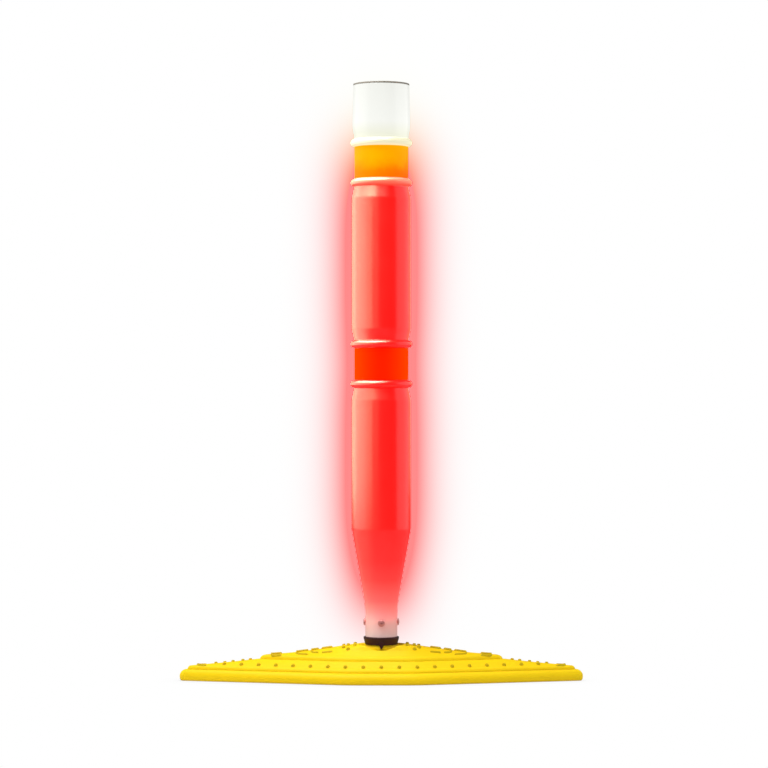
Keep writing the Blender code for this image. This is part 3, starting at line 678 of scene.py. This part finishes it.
def build_bolts(finish):
    """Button-head bolts with a hexagon socket, one on each side of the neck."""
    # the turned outside, from the top of the head down to the end of the shank; the first point lies
    # inside the head and the last on the axis, so both are left out
    profile = softened([
        ((BOLT_HEAD_RADIUS * 0.72, BOLT_HEAD_HEIGHT), 1.4 * MM),
        ((BOLT_HEAD_RADIUS, BOLT_HEAD_HEIGHT * 0.35), 1.0 * MM),
        ((BOLT_HEAD_RADIUS, 0.0), 0.2 * MM),
        ((BOLT_SHANK_RADIUS, 0.0), 0),
        ((BOLT_SHANK_RADIUS, -BOLT_SHANK_LENGTH), 0.5 * MM),
        ((0.0, -BOLT_SHANK_LENGTH), 0),
    ], steps=5)[1:-1]
    angles = [2 * math.pi * i / BOLT_STEPS for i in range(BOLT_STEPS)]
    outside = [[(r * math.cos(a), r * math.sin(a), h) for a in angles] for r, h in profile]
    # the hexagon socket: its floor, walls and mouth
    hexagon = []
    for angle in angles:
        local = (angle + math.pi / 6) % (math.pi / 3) - math.pi / 6
        reach = BOLT_SOCKET_RADIUS * math.cos(math.pi / 6) / math.cos(local)
        hexagon.append((reach * math.cos(angle), reach * math.sin(angle)))
    floor = [(x, y, BOLT_HEAD_HEIGHT - BOLT_SOCKET_DEPTH) for x, y in hexagon]
    wall = [(x, y, BOLT_HEAD_HEIGHT - BOLT_SOCKET_BEVEL) for x, y in hexagon]
    mouth = [(x * 1.08, y * 1.08, BOLT_HEAD_HEIGHT) for x, y in hexagon]
    rings = [floor, wall, mouth] + outside

    for side, turned in (("front", -90), ("right", 0), ("back", 90), ("left", 180)):
        node = f"neck_bolt_{side}"
        low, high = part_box(node)
        middle = (low[2] + high[2]) / 2
        round_neck = Matrix.Rotation(math.radians(turned), 4, "Z")
        out = round_neck @ Matrix.Translation((NECK_RADIUS + SEAM, 0, middle))
        place = out @ Matrix.Rotation(math.radians(90), 4, "Y")
        bm = bmesh.new()
        made = [[bm.verts.new(place @ Vector(point)) for point in ring] for ring in rings]
        for inner, outer in zip(made, made[1:]):
            for i in range(BOLT_STEPS):
                j = (i + 1) % BOLT_STEPS
                bm.faces.new((inner[i], inner[j], outer[j], outer[i]))
        bm.faces.new(made[0])
        bm.faces.new(made[-1])
        piece = mesh_piece(f"button_bolt_{side}", bm, finish, sharp_angle=35)
        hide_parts(node)
        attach(piece, "post")


# ---------------------------------------------------------------- base
def pad_outline(half_length, half_depth, flat_half, tip_half, steps=8, stretch=10):
    """Plan of one tier: straight front and back, slanted sides, blunt points, all corners rounded."""
    quarter = [
        ((flat_half, -half_depth), min(18 * MM, flat_half * 0.6)),
        ((half_length, -tip_half), tip_half * 0.95),
    ]
    right = quarter + [((x, -y), reach) for (x, y), reach in reversed(quarter)]
    left = [((-x, -y), reach) for (x, y), reach in right]
    corners = right + left
    points = []
    for i, (corner, reach) in enumerate(corners):
        neighbours = corners[i - 1], corners[(i + 1) % len(corners)]
        curve = softened([neighbours[0], (corner, reach), neighbours[1]], steps)[steps + 1:-(steps + 1)]
        if points:
            last = points[-1]
            points += [last.lerp(curve[0], k / stretch) for k in range(1, stretch)]
        points += curve
    points += [points[-1].lerp(points[0], k / stretch) for k in range(1, stretch)]
    return points


def base_sections():
    """The tiers from the ground up, as (half length, half depth, flat half, tip half, height) corners."""
    length, depth = BASE_HIGH[0], BASE_HIGH[1]

    def rim(inset, height):
        tip = BASE_TIP_HALF * (1 - 0.5 * inset / GROOVE_INSET)
        return (length - inset, depth - inset, BASE_FLAT_HALF - inset * 0.15, tip, height)

    def quarter_round(section, steps=8):
        angles = [math.radians(90 * i / steps) for i in range(steps + 1)]
        return [section(1 - math.cos(a), math.sin(a)) for a in angles]

    rim_round = GROOVE_INSET - GROOVE_WIDTH
    rim_rise = RIM_HEIGHT - RIM_WIDEST_HEIGHT
    floor = RIM_HEIGHT - GROOVE_DEPTH
    sections = [rim(RIM_FOOT_INSET, 0.0), rim(RIM_FOOT_INSET * 0.25, RIM_WIDEST_HEIGHT * 0.3)]
    sections += quarter_round(lambda i, up: rim(rim_round * i, RIM_WIDEST_HEIGHT + rim_rise * up))
    sections += [rim(GROOVE_INSET - 0.5 * MM, floor + 0.15 * MM), rim(GROOVE_INSET, floor)]
    run, rise = MIDDLE_TIER_ROUND
    sections += quarter_round(lambda i, up: rim(GROOVE_INSET + run * i, floor + rise * up))[1:]
    sections += [MIDDLE_TIER_TOP, *TOP_TIER_LEDGE]
    foot_length, foot_depth, flat_half, tip_half, foot_height = TOP_TIER_FOOT
    run_along, run_across, top_rise = TOP_TIER_ROUND
    sections += quarter_round(lambda i, up: (
        foot_length - run_along * i, foot_depth - run_across * i, flat_half, tip_half,
        foot_height + top_rise * up))
    sections += SLOPE_CORNERS
    return sections


def rounded_sections(sections, reach, steps=3):
    """The same stack with each break in the slope eased over a short way."""
    eased = [sections[0]]
    for before, here, after in zip(sections, sections[1:], sections[2:]):
        def toward(other):
            way = math.hypot(other[1] - here[1], other[4] - here[4])
            share = min(reach / way, 0.45)
            return [h + (o - h) * share for h, o in zip(here, other)]
        start, end = toward(before), toward(after)
        for step in range(steps + 1):
            t = step / steps
            eased.append(tuple(s * (1 - t) ** 2 + h * 2 * t * (1 - t) + e * t * t
                               for s, h, e in zip(start, here, end)))
    eased.append(sections[-1])
    return eased


def add_stud(bm, foot, normal):
    """A small round stud with a soft foot and top."""
    place = Matrix.Translation(foot) @ normal.to_track_quat("Z", "Y").to_matrix().to_4x4()
    profile = softened([
        ((0.0, STUD_HEIGHT), 0),
        ((STUD_RADIUS * 0.85, STUD_HEIGHT), 1.0 * MM),
        ((STUD_RADIUS, 0.2 * MM), 0.5 * MM),
        ((STUD_RADIUS + STUD_FOOT, -0.1 * MM), 0.2 * MM),
        ((STUD_RADIUS, -STUD_ROOT), 0),
        ((0.0, -STUD_ROOT), 0),
    ], steps=4)
    turn(bm, profile, steps=20, place=place)


def add_rib(bm, path, ground):
    """A raised rounded rib along a plan path, laid on the surface, with rounded ends."""
    sides = 10
    rings = []
    count = len(path)
    for i, point in enumerate(path):
        ahead = path[min(i + 1, count - 1)] - path[max(i - 1, 0)]
        across = Vector((-ahead[1], ahead[0], 0)).normalized()
        to_end = min((point - path[0]).length, (point - path[-1]).length)
        swell = math.sqrt(max(0.04, 1 - (1 - min(to_end / (RIB_WIDTH / 2), 1)) ** 2))
        foot = ground(point[0], point[1])
        ring = []
        for k in range(sides + 1):
            a = math.pi * k / sides
            out = across * (math.cos(a) * RIB_WIDTH / 2 * swell)
            rise = math.sin(a) ** 0.7 * RIB_HEIGHT * swell - RIB_ROOT
            local = ground(point[0] + out[0], point[1] + out[1])
            level = (foot[2] + local[2]) / 2
            ring.append(bm.verts.new((point[0] + out[0], point[1] + out[1], level + rise)))
        rings.append(ring)
    for near, far in zip(rings, rings[1:]):
        for k in range(sides):
            bm.faces.new((near[k], near[k + 1], far[k + 1], far[k]))
        bm.faces.new((near[sides], near[0], far[0], far[sides]))
    bm.faces.new(rings[0])
    bm.faces.new(rings[-1])


def add_loop(bm, ground, side, across, near, far, upper, lower, upper_closed, lower_closed):
    """A rib bent into a U: out along its upper arm, round the closed end and back along the lower."""
    bend = abs(lower_closed - upper_closed) * 0.45
    corners = [(near, upper), (far, upper_closed), (far, lower_closed), (near, lower)]
    corners = [(side * x, across * y) for x, y in corners]
    path = softened([(corners[0], 0), (corners[1], bend), (corners[2], bend), (corners[3], 0)], steps=8)
    even = [path[0].lerp(path[1], k / 8) for k in range(8)] + path[1:-1]
    even += [path[-2].lerp(path[-1], k / 8) for k in range(1, 9)]
    add_rib(bm, even, ground)


def build_base(finish):
    """The base moulding: its tiers stacked from the ground up, then socket and pointer groove cut in."""
    bm = bmesh.new()
    rings = []
    for half_length, half_depth, flat_half, tip_half, height in rounded_sections(base_sections(), 1.5 * MM):
        outline = pad_outline(half_length, half_depth, flat_half, tip_half)
        rings.append([bm.verts.new((x, y, height)) for x, y in outline])
    count = len(rings[0])
    for lower, upper in zip(rings, rings[1:]):
        for i in range(count):
            j = (i + 1) % count
            bm.faces.new((lower[i], lower[j], upper[j], upper[i]))
    bm.faces.new(list(reversed(rings[0])))
    bm.faces.new(rings[-1])
    piece = mesh_piece("rubber_base_moulding", bm, finish)

    # socket for the plug and the ring-shaped groove that the pointer swings in
    above = BASE_HIGH[2] + 5 * MM
    cutter = bmesh.new()
    socket = [(0.0, above), (SOCKET_RADIUS, above), (SOCKET_RADIUS, SOCKET_FLOOR), (0.0, SOCKET_FLOOR)]
    turn(cutter, socket, steps=96)
    inner, outer = POINTER_GROOVE
    groove_floor = BASE_HIGH[2] + SEAM - POINTER_LENGTH - POINTER_CLEARANCE
    flare = outer + (above - groove_floor) * GROOVE_FLARE
    turn(cutter, [(flare, above), (outer, groove_floor), (inner, groove_floor), (inner, above)], steps=96)
    applied_cut(piece, mesh_piece("socket_and_groove", cutter, finish))

    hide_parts("rubber_base")
    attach(piece, "base")
    return piece


def build_tread(base, finish):
    """Studs in a loop round the middle tier and on the ridge, ribs and nubs on the slopes."""
    moulding = bmesh.new()
    surface = BVHTree.FromObject(base, bpy.context.evaluated_depsgraph_get())

    def ground(x, y):
        return surface.ray_cast(Vector((x, y, 1.0)), -UP)[0]

    def slope(x, y):
        normal = surface.ray_cast(Vector((x, y, 1.0)), -UP)[1]
        return (normal + UP).normalized()

    # a quarter of the loop is walked in equal steps from the middle of the front, then mirrored
    loop = pad_outline(*STUD_LOOP)
    start = min(range(len(loop)), key=lambda i: (loop[i][1], abs(loop[i][0])))
    walk = loop[start:] + loop[:start]
    quarter = [Vector((0.0, walk[0][1]))] + [p for p in walk if p[0] > 0 and p[1] < 0]
    quarter.append(Vector((max(p[0] for p in walk), 0.0)))
    spots = []
    left_over = 0.0
    for here, there in zip(quarter, quarter[1:]):
        step = (there - here).length
        while left_over <= step:
            spots.append(here.lerp(there, left_over / step))
            left_over += STUD_PITCH
        left_over -= step
    marks = set()
    for x, y in [tuple(p) for p in spots] + [(x, 0.0) for x in RIDGE_STUDS]:
        for across in (-1, 1):
            for along in (-1, 1):
                marks.add((round(x * across, 6), round(y * along, 6)))
    for x, y in sorted(marks):
        add_stud(moulding, ground(x, y), slope(x, y))

    for side in (-1, 1):
        near, far, upper, lower, closed = TIP_LOOP
        add_loop(moulding, ground, side, 1, near, far, upper, lower, -closed, closed)
        for across in (-1, 1):
            for near, far, upper, lower, closed in SLOPE_LOOPS:
                add_loop(moulding, ground, side, across, near, far, upper, lower, upper, closed)
            for near, far, inner, outer in SLOPE_BARS:
                ends = Vector((side * near, across * inner)), Vector((side * far, across * outer))
                path = [ends[0].lerp(ends[1], k / BAR_STEPS) for k in range(BAR_STEPS + 1)]
                add_rib(moulding, path, ground)
    nubs = {(x * side, y * across) for x, y in NUB_DIAMOND for side in (-1, 1) for across in (-1, 1)}
    for x, y in sorted(nubs):
        add_stud(moulding, ground(x, y), slope(x, y))
    piece = mesh_piece("tread_studs_and_ribs", moulding, finish)
    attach(piece, "base")


# ---------------------------------------------------------------- studio
def softbox(name, place, target, width, height, radiance, only=None, colour="#FFFFFF", matte=False):
    """A soft rectangular light; one for only some pieces shows in their gloss alone, unless matte."""
    light = bpy.data.lights.new(name, "AREA")
    light.shape = "RECTANGLE"
    light.size = width
    light.size_y = height
    light.energy = radiance * 4 * width * height
    light.color = linear(colour)[:3]
    made = bpy.data.objects.new(name, light)
    made.location = place
    made.rotation_euler = (Vector(target) - Vector(place)).to_track_quat("-Z", "Y").to_euler()
    made.visible_camera = False
    bpy.context.scene.collection.objects.link(made)
    if only:
        lit = bpy.data.collections.new(name + "_lights")
        for piece in only:
            lit.objects.link(piece)
        made.light_linking.receiver_collection = lit
        made.visible_diffuse = matte


def build_studio(tube, amber, film):
    """White sweep, soft lights and camera; some of the lights shine on one piece only."""
    scene = bpy.context.scene
    scene.view_settings.view_transform = "Standard"
    world = bpy.data.worlds.new("studio")
    scene.world = world
    world.use_nodes = True
    tree = world.node_tree
    tree.nodes.clear()
    path = add_node(tree, "ShaderNodeLightPath")
    seen = add_node(tree, "ShaderNodeBackground", {"Color": (1, 1, 1, 1), "Strength": 1.0})
    dim = add_node(tree, "ShaderNodeBackground", {"Color": (1, 1, 1, 1), "Strength": 0.12})
    both = add_node(tree, "ShaderNodeMixShader", {
        0: path.outputs["Is Camera Ray"], 1: dim.outputs[0], 2: seen.outputs[0]})
    output = add_node(tree, "ShaderNodeOutputWorld")
    tree.links.new(both.outputs[0], output.inputs["Surface"])

    bm = bmesh.new()
    bmesh.ops.create_grid(bm, x_segments=4, y_segments=4, size=30)
    bmesh.ops.translate(bm, vec=(0, 0, -0.5 * MM), verts=bm.verts)
    made, tree = new_material("matte_white_sweep")
    path = add_node(tree, "ShaderNodeLightPath")
    # darker where it shows in a reflection
    tone = add_node(tree, "ShaderNodeMapRange", {
        "Value": path.outputs["Is Glossy Ray"], "To Min": 0.8, "To Max": 0.35})
    paper = add_node(tree, "ShaderNodeBsdfDiffuse", {"Color": tone.outputs[0]})
    # seen directly the sweep is burnt out to white, with a faint painted shadow where something stands
    near = add_node(tree, "ShaderNodeAmbientOcclusion", {"Distance": 60 * MM}, samples=8)
    painted_contact_shadow = add_node(tree, "ShaderNodeMapRange", {
        "Value": near.outputs["AO"], "To Min": 0.80, "To Max": 1.0})
    burnt_out = add_node(tree, "ShaderNodeEmission", {"Color": (1, 1, 1, 1), "Strength": painted_contact_shadow.outputs[0]})
    sweep = add_node(tree, "ShaderNodeMixShader", {
        0: path.outputs["Is Camera Ray"], 1: paper.outputs[0], 2: burnt_out.outputs[0]})
    to_output(tree, sweep)
    mesh_piece("studio_floor", bm, made)

    middle = (0, 0, 0.5)
    softbox("side_left", (-1.3, 0.1, 0.75), middle, 1.8, 1.5, 0.75)
    softbox("side_right", (1.3, 0.1, 0.75), middle, 1.8, 1.5, 0.85)
    softbox("overhead", (-0.5, -0.5, 2.3), (0, 0, 0.3), 1.0, 1.0, 12.5)
    softbox("front_fill", (0.4, -2.6, 2.4), (0, 0, 0.1), 1.6, 0.8, 0.8)
    warm = "#FFFFD2"
    softbox("tube_wide", (-1.0, -0.2, 0.795), (0, -0.2, 0.795), 2.6, 1.16, 3.1, [tube], warm)
    softbox("tube_behind_left", (-1.0, 2.5, 0.795), (0, 2.5, 0.795), 2.8, 1.16, 1.3, [tube], warm)
    softbox("tube_behind_right", (1.3, 2.5, 0.795), (0, 2.5, 0.795), 3.0, 1.16, 0.6, [tube], warm)
    softbox("tube_core", (-1.0, -0.05, 0.795), (0, -0.05, 0.795), 1.3, 1.16, 11.0, [tube], warm)
    softbox("tube_front", (-0.86, -2.35, 0.795), (0, 0, 0.795), 0.8, 1.16, 0.9, [tube], warm)
    softbox("tube_low", (-0.38, -0.05, 0.1), (0, -0.05, 0.1), 0.9, 0.18, 0.4, [tube], warm)
    softbox("tube_top", (-0.75, -0.3, 2.1), (-0.75, -0.3, 0), 2.4, 3.0, 15.0, [tube], warm)
    softbox("tube_high", (-1.25, -0.35, 1.85), (0, 0, 0.6), 3.6, 1.0, 9.0, [tube], warm)
    softbox("amber_left", (-1.0, 0.5, 0.9), (0, 0.5, 0.9), 4.0, 1.0, 1.0, [amber], warm)
    softbox("film_left", (-1.0, 0.2, 0.53), (0, 0, 0.53), 1.2, 1.2, 16.0, [film], matte=True)
    softbox("film_right", (1.0, 0.2, 0.53), (0, 0, 0.53), 1.2, 1.2, 14.0, [film], matte=True)

    camera = bpy.data.cameras.new("camera")
    camera.lens = CAMERA_LENS
    camera.sensor_width = 36.0
    made = bpy.data.objects.new("camera", camera)
    made.location = CAMERA_PLACE
    made.rotation_euler = (math.radians(90), 0, 0)
    scene.collection.objects.link(made)
    scene.camera = made


def add_halo(pieces):
    """A painted red glow round the lit pieces: their own light, blurred, tints whatever lies behind."""
    reach = 75          # of the blur, in a render 768 wide
    density = 1.9
    densest = 0.26      # what the haze lets through of green and blue at the least
    overlap = 1.7       # how strongly the share that a piece leaves free counts
    scene = bpy.context.scene
    scene.view_layers[0].use_pass_emit = True
    scene.view_layers[0].use_pass_cryptomatte_object = True
    scene.use_nodes = True
    tree = scene.node_tree
    tree.nodes.clear()
    seen = add_node(tree, "CompositorNodeRLayers")
    blurred = add_node(tree, "CompositorNodeBlur", {
        "Image": seen.outputs["Emit"], "Size": (reach, reach)}, filter_type="GAUSS")
    glow = add_node(tree, "CompositorNodeSeparateColor", {"Image": blurred.outputs[0]})
    left = {"Red": 1.0}
    for channel in ("Green", "Blue"):
        lost = add_node(tree, "CompositorNodeMath", {
            0: glow.outputs["Red"], 1: glow.outputs[channel]}, operation="SUBTRACT")
        thin = add_node(tree, "CompositorNodeMath", {
            0: lost.outputs[0], 1: -density, 2: 1.0}, operation="MULTIPLY_ADD")
        kept = add_node(tree, "CompositorNodeMath", {0: thin.outputs[0], 1: densest}, operation="MAXIMUM")
        left[channel] = kept.outputs[0]
    haze = add_node(tree, "CompositorNodeCombineColor", left)
    solid = add_node(
        tree, "CompositorNodeCryptomatteV2", {"Image": seen.outputs["Image"]},
        matte_id=",".join(piece.name for piece in pieces))
    # a little more than what the pieces leave free, so that no pale line is left along their edges
    behind = add_node(tree, "CompositorNodeMath", {
        0: solid.outputs["Matte"], 1: -overlap, 2: overlap}, operation="MULTIPLY_ADD", use_clamp=True)
    both = add_node(tree, "CompositorNodeMixRGB", {
        0: behind.outputs[0], 1: seen.outputs["Image"], 2: haze.outputs[0]}, blend_type="MULTIPLY")
    add_node(tree, "CompositorNodeComposite", {"Image": both.outputs[0]})


# ---------------------------------------------------------------- whole object
tube = build_tube(lit_blown_polyethylene())
film = build_band("red_band", "red_film_band", backlit_red_film())
amber = build_band("amber_band", "amber_sleeve", amber_polycarbonate())
build_lens(opal_polycarbonate())
build_cap(grey_abs())
build_plug(glass_filled_nylon())
build_bolts(zinc_plated_steel())
base = build_base(moulded_yellow_rubber("moulded_yellow_rubber", "#FCD601", "#FFDC02"))
# the studs and ribs take a darker copy of the same rubber: painted shade for their small shaded sides
build_tread(base, moulded_yellow_rubber("scuffed_yellow_rubber", "#C8AE04", "#D2B806"))
build_studio(tube, amber, film)
add_halo([piece for piece in bpy.data.objects if piece.type == "MESH" and piece.name != "studio_floor"])
